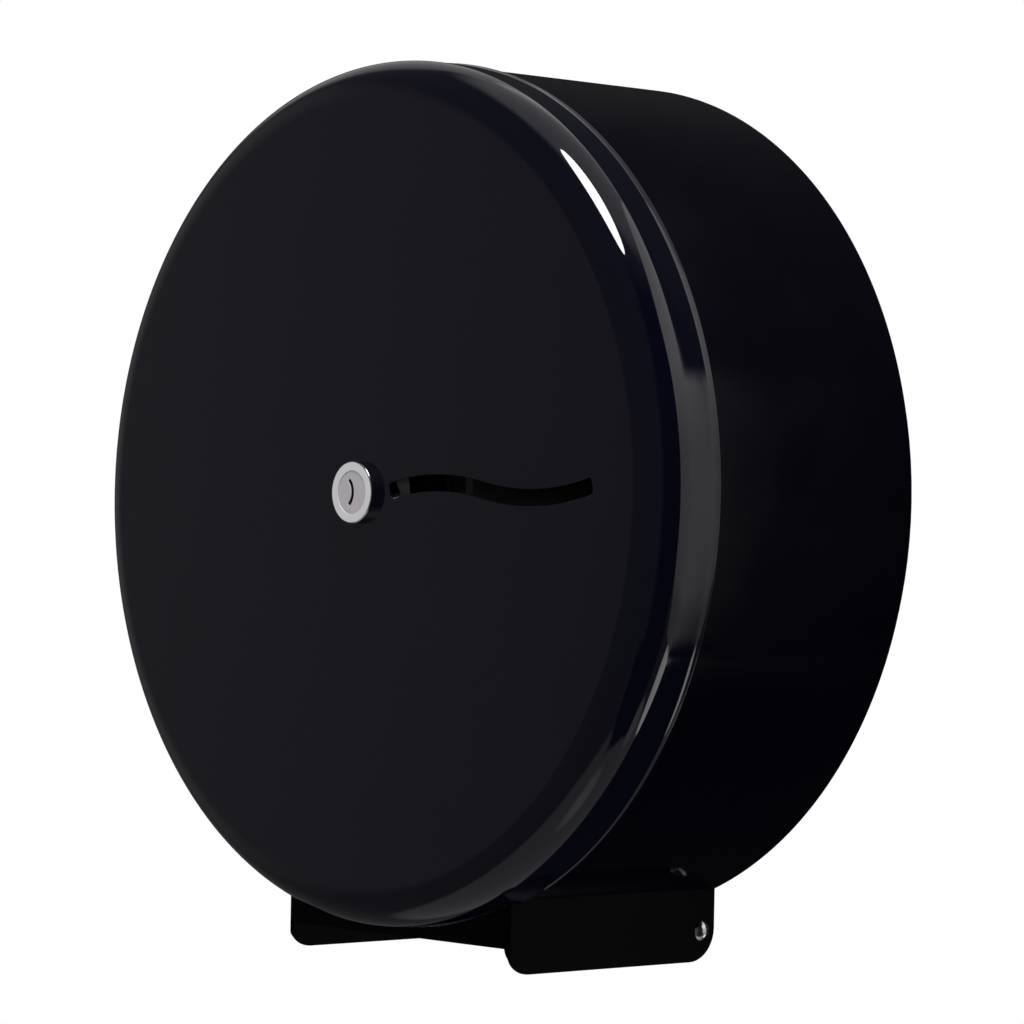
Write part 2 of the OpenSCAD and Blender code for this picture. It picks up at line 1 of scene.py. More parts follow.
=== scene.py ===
"""A wall-mounted jumbo roll dispenser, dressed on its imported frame.

Pieces are drawn in wall millimetres: X to the right, Y up and Z out from the
wall, on the drum's axis. Blender's scene is in metres, with the wall at y = 0
and the front facing -Y. The sizes are those of the part's source.
"""

import logging
import math
from collections.abc import Callable, Iterable, Sequence
from dataclasses import dataclass
from enum import Enum

import bmesh
import bpy
from mathutils import Matrix, Vector
from mathutils.geometry import delaunay_2d_cdt

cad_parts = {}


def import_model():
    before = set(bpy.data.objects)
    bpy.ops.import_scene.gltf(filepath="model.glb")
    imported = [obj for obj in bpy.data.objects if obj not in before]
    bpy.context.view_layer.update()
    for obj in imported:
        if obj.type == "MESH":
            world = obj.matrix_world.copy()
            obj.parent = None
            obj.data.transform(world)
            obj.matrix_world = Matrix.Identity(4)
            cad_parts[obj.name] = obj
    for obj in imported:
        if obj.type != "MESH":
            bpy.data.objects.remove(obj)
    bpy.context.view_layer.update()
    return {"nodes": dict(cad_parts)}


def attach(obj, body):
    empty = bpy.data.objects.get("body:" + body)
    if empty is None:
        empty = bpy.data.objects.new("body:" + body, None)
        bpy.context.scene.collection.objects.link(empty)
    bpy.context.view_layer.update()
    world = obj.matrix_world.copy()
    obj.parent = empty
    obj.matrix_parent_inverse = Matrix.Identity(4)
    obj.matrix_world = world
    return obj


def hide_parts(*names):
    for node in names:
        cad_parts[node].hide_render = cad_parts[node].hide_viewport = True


Point = tuple[float, float]
Spot = tuple[float, float, float]
Socket = bpy.types.NodeSocket
Tree = bpy.types.NodeTree

LOG = logging.getLogger("dispenser")

MM = 0.001
FULL_TURN = 2 * math.pi
QUARTER = math.pi / 2

# Segments round a large and a small circle, and steps along the small curves
SMOOTH = 288
MEDIUM = 96
BEND_STEPS = 6
ROUND_STEPS = 5
EDGE_STEPS = 4
BEVEL_STEPS = 2

# Edges that turn further than this stay sharp or are softened
SHARP_ANGLE = math.radians(40)
# Closer than this, in millimetres, points of a fill are one, or a ring is a pole
FILL_GAP = 1e-4
POLE_GAP = 1e-6
# Closer than this, in metres, points of a mesh are one
WELD_GAP = 1e-7


class Body(Enum):
    """The moving bodies that a piece can ride on."""

    BASE = "base"
    COVER = "cover"
    LOCK = "lock"
    HUB = "hub"


# ---- Outlines ----


def arc(centre: Point, radius: float, start: float, end: float, steps: int) -> list[Point]:
    """Draws points along a circle's arc.

    Args:
        centre: The circle's centre.
        radius: Its radius.
        start: The first point's angle, in degrees.
        end: The last point's angle, in degrees.
        steps: The number of equal steps between them.

    Returns:
        The points, both ends included.
    """
    turns = [math.radians(start + (end - start) * i / steps) for i in range(steps + 1)]
    return [(centre[0] + radius * math.cos(a), centre[1] + radius * math.sin(a)) for a in turns]


def circle(radius: float, steps: int, centre: Point = (0.0, 0.0)) -> list[Point]:
    """Draws a closed circle without repeating its first point."""
    return arc(centre, radius, 0, 360, steps)[:-1]


def flatted(radius: float, flat: float, steps: int) -> list[Point]:
    """Draws a closed circle with a flat on its left and one on its right."""
    return [(max(-flat, min(flat, x)), y) for x, y in circle(radius, steps)]


def ring(radius: float, z: float, segments: int = MEDIUM) -> list[Spot]:
    """Draws a closed circle about the Z axis, at a distance from the wall."""
    angles = [FULL_TURN * i / segments for i in range(segments)]
    return [(radius * math.cos(a), radius * math.sin(a), z) for a in angles]


def lifted(outline: Iterable[Point], z: float) -> list[Spot]:
    """Sets a flat outline at a distance from the wall."""
    return [(x, y, z) for x, y in outline]


def rounded(corners: Sequence[tuple[float, float, float]]) -> list[Point]:
    """Rounds the corners of a closed outline.

    Args:
        corners: Each corner's place and the radius to round it with.

    Returns:
        The outline's points.
    """
    outline: list[Point] = []
    for i, (x, y, radius) in enumerate(corners):
        here = Vector((x, y))
        if radius <= 0:
            outline.append((x, y))
            continue
        back = (Vector(corners[i - 1][:2]) - here).normalized()
        ahead = (Vector(corners[(i + 1) % len(corners)][:2]) - here).normalized()
        half = back.angle(ahead) / 2
        hub = here + (back + ahead).normalized() * (radius / math.sin(half))
        first = here + back * (radius / math.tan(half)) - hub
        last = here + ahead * (radius / math.tan(half)) - hub
        start, end = (math.atan2(way.y, way.x) for way in (first, last))
        sweep = (end - start + math.pi) % FULL_TURN - math.pi
        for k in range(ROUND_STEPS + 1):
            a = start + sweep * k / ROUND_STEPS
            outline.append((hub.x + radius * math.cos(a), hub.y + radius * math.sin(a)))
    return outline


def inside(spot: Point, outline: Sequence[Point]) -> bool:
    """Says whether a point lies inside a closed outline."""
    x, y = spot
    hit = False
    for i, (x1, y1) in enumerate(outline):
        x0, y0 = outline[i - 1]
        if (y0 > y) != (y1 > y) and x < (x1 - x0) * (y - y0) / (y1 - y0) + x0:
            hit = not hit
    return hit


def fill(
    outline: Sequence[Point],
    holes: Sequence[Sequence[Point]] = (),
    folds: Sequence[tuple[Point, Point]] = (),
) -> tuple[list[Point], list[tuple[int, ...]]]:
    """Fills an outline with triangles, around its holes.

    Args:
        outline: The closed outline.
        holes: The closed outlines of its holes.
        folds: Lines that the triangles must follow, such as the lines of a bend.

    Returns:
        The points and the triangles.
    """
    points: list[Vector] = []
    edges: list[tuple[int, int]] = []
    for loop in (outline, *holes):
        first = len(points)
        points += [Vector(p) for p in loop]
        edges += [(first + i, first + (i + 1) % len(loop)) for i in range(len(loop))]
    for start, end in folds:
        edges.append((len(points), len(points) + 1))
        points += [Vector(start), Vector(end)]
    verts, _, faces, *_ = delaunay_2d_cdt(points, edges, [], 0, FILL_GAP)
    kept = []
    for face in faces:
        middle = sum((verts[i] for i in face), Vector((0, 0))) / len(face)
        spot = (middle.x, middle.y)
        if inside(spot, outline) and not any(inside(spot, hole) for hole in holes):
            kept.append(tuple(face))
    return [(v.x, v.y) for v in verts], kept


@dataclass(frozen=True)
class Fold:
    """The middle line of a bent sheet: straight runs and round bends.

    A run is its length and a curvature of 0. A bend is its length along the
    middle line and one over its radius, positive where it turns to the right.
    """

    start: Point
    heading: float
    runs: tuple[tuple[float, float], ...]

    def length(self) -> float:
        """Returns the middle line's whole length."""
        return sum(length for length, _ in self.runs)

    def at(self, along: float) -> tuple[Point, Point]:
        """Finds a point of the middle line.

        Args:
            along: The distance from its start.

        Returns:
            The point, and the unit vector that points out on its left.
        """
        x, y = self.start
        turn = math.radians(self.heading)
        left = along
        for i, (length, curve) in enumerate(self.runs):
            step = left if i == len(self.runs) - 1 else min(left, length)
            if curve == 0:
                x, y = x + step * math.cos(turn), y + step * math.sin(turn)
            else:
                after = turn - step * curve
                x += (math.sin(turn) - math.sin(after)) / curve
                y -= (math.cos(turn) - math.cos(after)) / curve
                turn = after
            left -= step
            if left <= 0:
                break
        return (x, y), (-math.sin(turn), math.cos(turn))

    def lines(self, low: float, high: float) -> list[tuple[Point, Point]]:
        """Draws the lines of every bend on the flat pattern.

        Args:
            low: Where each line starts, across the sheet.
            high: Where each line ends.

        Returns:
            The lines' two ends.
        """
        lines, along = [], 0.0
        for length, curve in self.runs:
            if curve:
                for k in range(BEND_STEPS + 1):
                    s = along + length * k / BEND_STEPS
                    lines.append(((s, low), (s, high)))
            along += length
        return lines


# ---- Meshes ----


class Sketch:
    """A piece's mesh in the making, drawn in wall millimetres."""

    def __init__(self) -> None:
        """Starts an empty mesh. What is drawn next lies in place's frame."""
        self.mesh = bmesh.new()
        self.place = Matrix.Identity(4)

    def point(self, x: float, y: float, z: float) -> bmesh.types.BMVert:
        """Adds a point, given in millimetres, and returns it."""
        spot = self.place @ Vector((x, y, z))
        return self.mesh.verts.new((spot.x * MM, -spot.z * MM, spot.y * MM))

    def loft(self, rings: Sequence[Sequence[Spot]], closed: bool = True) -> None:
        """Joins rings with equal counts of points by quads.

        Args:
            rings: The rings in order. One with a single point is a pole.
            closed: Whether the last ring joins the first.
        """
        made = [[self.point(*spot) for spot in ring] for ring in rings]
        pairs = list(zip(made, made[1:] + made[:1], strict=True))
        for one, two in pairs if closed else pairs[:-1]:
            count = max(len(one), len(two))
            if count == 1:
                continue
            for i in range(count):
                j = (i + 1) % count
                if len(one) == 1:
                    self.mesh.faces.new((one[0], two[j], two[i]))
                elif len(two) == 1:
                    self.mesh.faces.new((one[i], one[j], two[0]))
                else:
                    self.mesh.faces.new((one[i], one[j], two[j], two[i]))

    def turn(self, profile: Iterable[Point], segments: int) -> None:
        """Turns a closed profile of (radius, z) points about the Z axis."""
        self.loft(
            [
                [(0.0, 0.0, z)] if radius < POLE_GAP else ring(radius, z, segments)
                for radius, z in profile
            ]
        )

    def thicken(
        self, outer: Sequence[Spot], inner: Sequence[Spot], faces: Iterable[tuple[int, ...]]
    ) -> None:
        """Closes two matching skins into one sheet.

        Args:
            outer: The outer skin's points.
            inner: The inner skin's points, in the same order.
            faces: The faces of one skin.
        """
        faces = list(faces)
        used = sorted({i for face in faces for i in face})
        top = {i: self.point(*outer[i]) for i in used}
        low = {i: self.point(*inner[i]) for i in used}
        sides = {(f[k - 1], f[k]) for f in faces for k in range(len(f))}
        for face in faces:
            self.mesh.faces.new([top[i] for i in face])
            self.mesh.faces.new([low[i] for i in reversed(face)])
        for a, b in sides:
            if (b, a) not in sides:
                self.mesh.faces.new((top[b], top[a], low[a], low[b]))

    def skin(
        self, outline: Sequence[Point], z: float, holes: Sequence[Sequence[Point]] = ()
    ) -> None:
        """Adds a flat skin of triangles.

        Args:
            outline: The skin's closed outline.
            z: Its distance from the wall.
            holes: The closed outlines of its holes.
        """
        points, faces = fill(outline, holes)
        verts = [self.point(x, y, z) for x, y in points]
        for face in faces:
            self.mesh.faces.new([verts[i] for i in face])

    def bent(
        self,
        fold: Fold,
        outline: Sequence[Point],
        thickness: float,
        put: Callable[[float, float, float], Spot],
        holes: Sequence[Sequence[Point]] = (),
    ) -> None:
        """Adds a bent sheet.

        Args:
            fold: The sheet's middle line.
            outline: The flat pattern: along the middle line, and across.
            thickness: The sheet's thickness.
            put: Turns the middle line's two values and the one across into X, Y, Z.
            holes: The holes in the flat pattern.
        """
        across = [p[1] for p in outline]
        points, faces = fill(outline, holes, fold.lines(min(across) - 1, max(across) + 1))
        outer, inner = [], []
        for along, side in points:
            (a, b), (u, v) = fold.at(along)
            h = thickness / 2
            outer.append(put(a + u * h, b + v * h, side))
            inner.append(put(a - u * h, b - v * h, side))
        self.thicken(outer, inner, faces)

    def piece(self, name: str, edge: float) -> bpy.types.Object:
        """Makes the Blender object.

        Args:
            name: The piece's name.
            edge: The radius that softens its sharp edges, in millimetres.

        Returns:
            The object, smoothly shaded.
        """
        bmesh.ops.remove_doubles(self.mesh, verts=self.mesh.verts, dist=WELD_GAP)
        bmesh.ops.recalc_face_normals(self.mesh, faces=self.mesh.faces)
        data = bpy.data.meshes.new(name)
        self.mesh.to_mesh(data)
        self.mesh.free()
        data.shade_smooth()
        data.set_sharp_from_angle(angle=SHARP_ANGLE)
        made = bpy.data.objects.new(name, data)
        bpy.context.scene.collection.objects.link(made)
        if edge > 0:
            bevel = made.modifiers.new("soft_edges", "BEVEL")
            bevel.width = edge * MM
            bevel.segments = BEVEL_STEPS
            bevel.limit_method = "ANGLE"
            bevel.angle_limit = SHARP_ANGLE
        weighted = made.modifiers.new("flat_faces", "WEIGHTED_NORMAL")
        weighted.mode = "FACE_AREA"
        weighted.keep_sharp = edge <= 0
        return made


# ---- Finishes ----


def linear(code: str) -> tuple[float, float, float, float]:
    """Turns an sRGB hex colour into the linear colour that a shader takes."""
    parts = [int(code[i : i + 2], 16) / 255 for i in (1, 3, 5)]
    flat = [c / 12.92 if c <= 0.04045 else ((c + 0.055) / 1.055) ** 2.4 for c in parts]
    return flat[0], flat[1], flat[2], 1.0


def add(
    tree: Tree, kind: str, inputs: dict[str | int, object], **settings: object
) -> bpy.types.Node:
    """Adds one shader node.

    Args:
        tree: The node tree.
        kind: The node's type, without its ShaderNode prefix.
        inputs: Values or output sockets for its inputs, by name or number.
        settings: Values for its own properties.

    Returns:
        The node.
    """
    node = tree.nodes.new("ShaderNode" + kind)
    for key, value in settings.items():
        setattr(node, key, value)
    for key, value in inputs.items():
        if isinstance(value, Socket):
            tree.links.new(value, node.inputs[key])
        else:
            node.inputs[key].default_value = value
    return node


def mix(tree: Tree, share: Socket | float, none: Socket | float, full: Socket | float) -> Socket:
    """Adds a blend of two values and returns it.

    Args:
        tree: The node tree.
        share: How much of the blend is full.
        none: The value at a share of 0.
        full: The value at a share of 1.

    Returns:
        The blend.
    """
    return add(
        tree, "Mix", {"Factor": share, 2: none, 3: full}, data_type="FLOAT"
    ).outputs[0]


def distance(tree: Tree, place: Socket, weights: Spot) -> Socket:
    """Adds a place's distance from what its weights leave out, and returns it."""
    flat = add(tree, "VectorMath", {0: place, 1: weights}, operation="MULTIPLY")
    return add(tree, "VectorMath", {0: flat.outputs[0]}, operation="LENGTH").outputs["Value"]


# Weights that leave a distance from the drum's axis, and one from the wall
FROM_AXIS: Spot = (1.0, 0.0, 1.0)
FROM_WALL: Spot = (0.0, 1.0, 0.0)


@dataclass(frozen=True)
class Finish:
    """One real material, with the way its surface was made."""

    name: str
    slot: str
    colour: str
    shade: str
    roughness: float
    spread: float
    patch: float
    grain: float
    relief: float
    metallic: float = 0.0
    specular: float = 0.5

    def material(self) -> bpy.types.Material:
        """Builds the material.

        The colour wanders between colour and shade over patches of a real
        size, the roughness with it, and a relief of a real size and height
        breaks up the reflections.

        Returns:
            The material.
        """
        made = bpy.data.materials.new(self.name)
        made.use_nodes = True
        tree = made.node_tree
        tree.nodes.clear()
        place = add(tree, "TexCoord", {}).outputs["Object"]
        patches = add(
            tree,
            "TexNoise",
            {"Vector": place, "Scale": 1 / (self.patch * MM), "Detail": 3.0},
        ).outputs["Fac"]
        colour = add(
            tree,
            "Mix",
            {"Factor": patches, 6: linear(self.colour), 7: linear(self.shade)},
            data_type="RGBA",
        ).outputs[2]
        rough = add(
            tree,
            "MapRange",
            {
                "Value": patches,
                "From Min": 0.3,
                "From Max": 0.7,
                "To Min": self.roughness - self.spread,
                "To Max": self.roughness + self.spread,
            },
        ).outputs[0]
        metallic, rough = self.polish(tree, place, rough)
        shader = add(
            tree,
            "BsdfPrincipled",
            {
                "Base Color": colour,
                "Roughness": rough,
                "Metallic": metallic,
                "Specular IOR Level": self.specular,
                "Normal": self.bump(tree, place),
            },
        )
        add(tree, "OutputMaterial", {"Surface": shader.outputs[0]})
        return made

    def polish(
        self, tree: Tree, place: Socket, rough: Socket
    ) -> tuple[float | Socket, Socket]:
        """Returns how metallic and how rough the surface is: here alike all over."""
        return self.metallic, rough

    def bump(self, tree: Tree, place: Socket) -> Socket:
        """Adds the surface's relief and returns its normal."""
        height = self.height(tree, place)
        return add(
            tree, "Bump", {"Height": height, "Distance": self.relief * MM, "Strength": 1.0}
        ).outputs[0]

    def height(self, tree: Tree, place: Socket) -> Socket:
        """Adds the relief's pattern: here an even grain. Returns its height."""
        return add(
            tree, "TexNoise", {"Vector": place, "Scale": 1 / (self.grain * MM), "Detail": 2.0}
        ).outputs["Fac"]


@dataclass(frozen=True)
class Brushed(Finish):
    """A metal brushed along X, which stretches its highlights across the lines."""

    stretch: float = 30.0

    def height(self, tree: Tree, place: Socket) -> Socket:
        """Adds long fine lines along X. Returns their height."""
        fine = 1 / (self.grain * MM)
        lines = add(tree, "Mapping", {"Vector": place, "Scale": (fine / self.stretch, fine, fine)})
        return add(
            tree, "TexNoise", {"Vector": lines.outputs[0], "Scale": 1.0, "Detail": 3.0}
        ).outputs["Fac"]


@dataclass(frozen=True)
class Lapped(Finish):
    """A plating whose matt lapped front turns to polish past an edge.

    The edge is a distance from the drum's axis or from the wall, as the weights
    say. The polish starts at one distance and is full at the other.
    """

    weights: Spot = FROM_AXIS
    start: float = 9.6
    full: float = 9.7
    polished: tuple[float, float] = (1.0, 0.12)

    def polish(
        self, tree: Tree, place: Socket, rough: Socket
    ) -> tuple[Socket, Socket]:
        """Polishes what lies past the edge."""
        away = distance(tree, place, self.weights)
        share = add(
            tree,
            "MapRange",
            {"Value": away, "From Min": self.start * MM, "From Max": self.full * MM},
        ).outputs[0]
        metallic, rough = (
            mix(tree, share, lapped, shiny)
            for lapped, shiny in zip((self.metallic, rough), self.polished, strict=True)
        )
        return metallic, rough


@dataclass(frozen=True)
class Turned(Lapped):
    """A metal turned on a lathe about the drum's axis, which leaves fine rings."""

    def height(self, tree: Tree, place: Socket) -> Socket:
        """Adds fine rings about the Y axis. Returns their height."""
        away = distance(tree, place, FROM_AXIS)
        rings = add(tree, "Math", {0: away, 1: 1 / (self.grain * MM)}, operation="MULTIPLY")
        return add(
            tree, "TexNoise", {"W": rings.outputs[0], "Scale": 1.0}, noise_dimensions="1D"
        ).outputs["Fac"]


@dataclass(frozen=True)
class Spangled(Finish):
    """Zinc plating, whose crystals catch the light in small facets."""

    def height(self, tree: Tree, place: Socket) -> Socket:
        """Adds flat crystal cells. Returns their height."""
        cells = add(tree, "TexVoronoi", {"Vector": place, "Scale": 1 / (self.grain * MM)})
        return cells.outputs["Distance"]


class Finishes:
    """All the finishes, each made once and shared by its pieces."""

    # Stoved enamel, sprayed and baked: a deep black that mirrors the room
    GLOSS = Finish("stoved_gloss_enamel", "black_gloss_paint", "#040410", "#060612",
                   0.03, 0.008, 35, 2.2, 0.0008)
    # Satin stoving paint: black that spreads the light softly over the drum
    SATIN = Finish("stoved_satin_paint", "black_satin_paint", "#030309", "#05050b",
                   0.09, 0.02, 30, 1.6, 0.001, 0.0, 0.1)
    # The same paint on the small bracket, made darker and with nearly no reflection: painted shade
    # for the bracket under the cap's rim
    SATIN_PAINTED_SHADE = Finish("stoved_satin_paint_painted_shade", "black_satin_paint", "#020204", "#040407",
                  0.12, 0.02, 30, 1.6, 0.001, 0.0, 0.03)
    # Powder coat, fused from powder: a slightly pebbled, duller black
    POWDER = Finish("black_powder_coat", "black_powder_coat", "#0b0b0f", "#101014",
                    0.5, 0.04, 25, 1.1, 0.02, 0.0, 0.3)
    # Chrome plate over a zinc casting: a pale lapped front and a dark mirror round its edge
    CHROME = Lapped("lapped_chrome_plate", "chrome", "#dededf", "#d6d6d9",
                    0.42, 0.04, 6, 0.9, 0.004, 0.2)
    # Satin chrome, brushed in rings before plating: greyer and softer, with a dark keyway
    PLUG = Turned("satin_chrome_plate", "satin_chrome", "#cbc5cb", "#c0bac1",
                  0.5, 0.04, 4, 0.22, 0.002, 0.3,
                  weights=FROM_WALL, start=118.75, full=118.65, polished=(1.0, 0.25))
    # Headed stainless rivet, left as pressed: warm silver with soft highlights
    RIVET = Finish("headed_stainless_steel", "stainless_rivet", "#cdcac5", "#bfbcb8",
                   0.2, 0.04, 2, 0.8, 0.004, 1.0)
    # Brushed stainless sheet: fine lines along the bar
    STAINLESS = Brushed("brushed_stainless_sheet", "stainless_sheet", "#c8c6c2", "#bcbab7",
                        0.28, 0.04, 10, 0.18, 0.004, 1.0)
    # Zinc plate with a clear passivate: pale blue-grey, faintly yellow in patches
    ZINC = Spangled("bright_zinc_plate", "zinc_plated_steel", "#b7bcc3", "#c3c1b6",
                    0.36, 0.06, 9, 1.6, 0.006, 1.0)
    # Oiled spring steel: dark grey with a dull sheen
    SPRING = Finish("oiled_spring_steel", "spring_steel", "#3d3e42", "#4a4a4d",
                    0.42, 0.05, 3, 0.5, 0.004, 1.0)
    # Moulded polypropylene: mid grey with the fine texture of the mould
    HUB = Finish("moulded_polypropylene", "grey_plastic", "#6f7175", "#76787c",
                 0.45, 0.04, 20, 0.7, 0.012)
    # Natural nylon: an ivory, faintly waxy plastic
    NYLON = Finish("natural_nylon", "natural_nylon", "#e6e0cf", "#ece7d8",
                   0.4, 0.03, 5, 0.6, 0.004)
    # Rolled brass strip: warm yellow metal
    BRASS = Brushed("rolled_brass_strip", "brass", "#c9a45a", "#bd9750",
                    0.27, 0.04, 3, 0.15, 0.003, 1.0)

    def __init__(self) -> None:
        """Starts with no material made."""
        self.made: dict[str, bpy.types.Material] = {}

    def get(self, finish: Finish) -> bpy.types.Material:
        """Returns the finish's material, making it the first time."""
        if finish.name not in self.made:
            self.made[finish.name] = finish.material()
        return self.made[finish.name]


@dataclass
class Assembly:
    """A sub-assembly: it builds its pieces and dresses them."""

    finishes: Finishes
    nodes: dict[str, bpy.types.Object]

    def put(
        self, sketch: Sketch, name: str, node: str, body: Body, finish: Finish, edge: float = 0.0
    ) -> bpy.types.Object:
        """Makes a piece, dresses it and sets it on its body.

        Args:
            sketch: The piece's mesh.
            name: The piece's name.
            node: The CAD node that it stands for.
            body: The body that it rides on.
            finish: Its finish.
            edge: The radius of its softened edges.

        Returns:
            The piece.
        """
        piece = sketch.piece(name, edge)
        piece.data.materials.append(self.finishes.get(finish))
        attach(piece, body.value)
        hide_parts(node)
        LOG.info("%s stands for %s on %s", name, node, body.value)
        return piece

    def dress(self, finish: Finish, *nodes: str) -> None:
        """Gives CAD nodes that stay as they are their finish."""
        for node in nodes:
            self.nodes[node].material_slots[0].material = self.finishes.get(finish)
            LOG.info("%s is dressed in %s", node, finish.name)


# ---- Shell ----


@dataclass
class FrontCap(Assembly):
    """The pressed front cap, with its wavy viewing slot."""

    radius: float = 140.0
    front: float = 116.0
    rear: float = 91.0
    corner: float = 13.0
    sheet: float = 1.0
    slot_width: float = 5.2
    slot_corner: float = 1.2
    slot_edge: float = 0.25
    wave_r: float = 103.0
    crest: Point = (38.5, 3.1)
    turn_angle: float = 12.0
    first_angle: float = 12.9
    last_angle: float = 15.9
    hole_r: float = 8.8
    hole_flat: float = 8.1
    lip_edge: float = 0.5
    lip_reach: float = 1.9
    lip_tilt: float = 20.0
    lip_back: float = 0.1
    wall_steps: int = 4
    lip_steps: int = 10
    low_steps: int = 24
    high_steps: int = 32
    corner_steps: int = 6
    hole_steps: int = 64

    def wave(self, grow: float) -> list[Point]:
        """Draws the slot's outline, grown by a small amount all round."""
        r, half, corner = self.wave_r, self.slot_width / 2 + grow, self.slot_corner + grow
        lane = self.slot_width / 2 - self.slot_corner
        ease = math.degrees(self.slot_corner / r)
        low = (self.crest[0], self.crest[1] - r)
        high = arc(low, 2 * r, 90 - self.turn_angle, 90, 1)[0]
        turn, first, last = self.turn_angle, self.first_angle - ease, self.last_angle - ease

        def round_off(hub: Point, reach: float, angle: float, start: float) -> list[Point]:
            """Rounds one corner of the slot's ends."""
            spot = arc(hub, reach, angle, 0, 1)[0]
            return arc(spot, corner, start, start - 90, self.corner_steps)

        return [
            *arc(low, r + half, 90 + first, 90 - turn, self.low_steps)[1:],
            *arc(high, r - half, -90 - turn, last - 90, self.high_steps)[1:],
            *round_off(high, r - lane, last - 90, last + 90)[1:],
            *round_off(high, r + lane, last - 90, last),
            *arc(high, r + half, last - 90, -90 - turn, self.high_steps)[1:],
            *arc(low, r - half, 90 - turn, 90 + first, self.low_steps)[1:],
            *round_off(low, r - lane, first + 90, first + 270)[1:],
            *round_off(low, r + lane, first + 90, first + 180),
        ]

    def barrel_hole(self) -> list[Point]:
        """Draws the lock's round hole with its two flats."""
        return flatted(self.hole_r, self.hole_flat, self.hole_steps)

    def side(self) -> list[Point]:
        """Draws the section from the face's edge round to the back of the face."""
        t, edge, reach = self.sheet, self.lip_edge, self.lip_reach
        tilt = math.radians(self.lip_tilt)
        flare = math.tan(tilt) * reach / 2
        r = self.radius - edge * (1 - math.cos(tilt)) - flare
        corner = r - self.radius + self.corner
        hub = (r - corner, self.front - corner)
        end = self.rear + edge * (1 + math.sin(tilt))
        start = end + reach
        inner = self.radius - t
        wall, lip = self.wall_steps, self.lip_steps
        return [
            *arc(hub, corner, 90, 0, 32),
            *[(r, hub[1] + (start - hub[1]) * k / wall) for k in range(1, wall + 1)],
            *[(r + flare * (k / lip) ** 2, start - reach * k / lip) for k in range(1, lip + 1)],
            *arc((self.radius - edge, self.rear + edge), edge, self.lip_tilt, -90, 8)[1:],
            (inner, self.rear + self.lip_back),
            (inner, self.front - self.corner),
            *arc((inner - corner + t, self.front - corner), corner - t, 0, 90, 16)[1:],
        ]

    def build(self) -> None:
        """Builds the cap and dresses it."""
        sketch = Sketch()
        face_r = self.radius - self.corner
        edge, back = self.slot_edge, self.front - self.sheet
        sketch.loft([ring(r, z, SMOOTH) for r, z in self.side()], closed=False)
        for z in (self.front, back):
            sketch.skin(circle(face_r, SMOOTH), z, [self.wave(edge), self.barrel_hole()])
        turns = [QUARTER * k / EDGE_STEPS for k in range(EDGE_STEPS + 1)]
        slot = [(edge * (1 - math.sin(a)), self.front - edge * (1 - math.cos(a))) for a in turns]
        slot += [(edge * (1 - math.cos(a)), back + edge * (1 - math.sin(a))) for a in turns]
        sketch.loft([lifted(self.wave(grow), z) for grow, z in slot], closed=False)
        hole = self.barrel_hole()
        sketch.loft([lifted(hole, z) for z in (self.front, back)], closed=False)
        self.put(sketch, "cap_pressing", "front_cap", Body.COVER, Finishes.GLOSS)


@dataclass
class DrumBand(Assembly):
    """The rolled band behind the cap, open at the bottom for the paper."""

    radius: float = 139.0
    sheet: float = 1.0
    rear: float = 6.0
    cap_rear: float = 91.0
    collar_end: float = 102.0
    opening: float = 54.7
    edge: float = 0.25

    def build(self) -> None:
        """Builds the band and dresses it."""
        sketch = Sketch()
        mid = self.radius - self.sheet / 2
        gap = math.asin(self.opening / mid)
        inside_gap = 2 * max(2, round(gap / FULL_TURN * SMOOTH))
        outside = SMOOTH - inside_gap
        angles = [-QUARTER + gap + (FULL_TURN - 2 * gap) * i / outside for i in range(outside)]
        angles += [-QUARTER - gap + 2 * gap * i / inside_gap for i in range(inside_gap)]
        levels = [self.rear, self.cap_rear, self.collar_end]
        outer, inner = [], []
        for z in levels:
            for a in angles:
                for skin, r in ((outer, self.radius), (inner, self.radius - self.sheet)):
                    skin.append((r * math.cos(a), r * math.sin(a), z))
        count = len(angles)
        faces = []
        for level in range(len(levels) - 1):
            for i in range(count):
                if level == 0 and i >= outside:
                    continue
                j = (i + 1) % count
                low, high = level * count, (level + 1) * count
                faces.append((low + i, low + j, high + j, high + i))
        sketch.thicken(outer, inner, faces)
        self.put(sketch, "band_rolled", "drum_band", Body.COVER, Finishes.SATIN, self.edge)


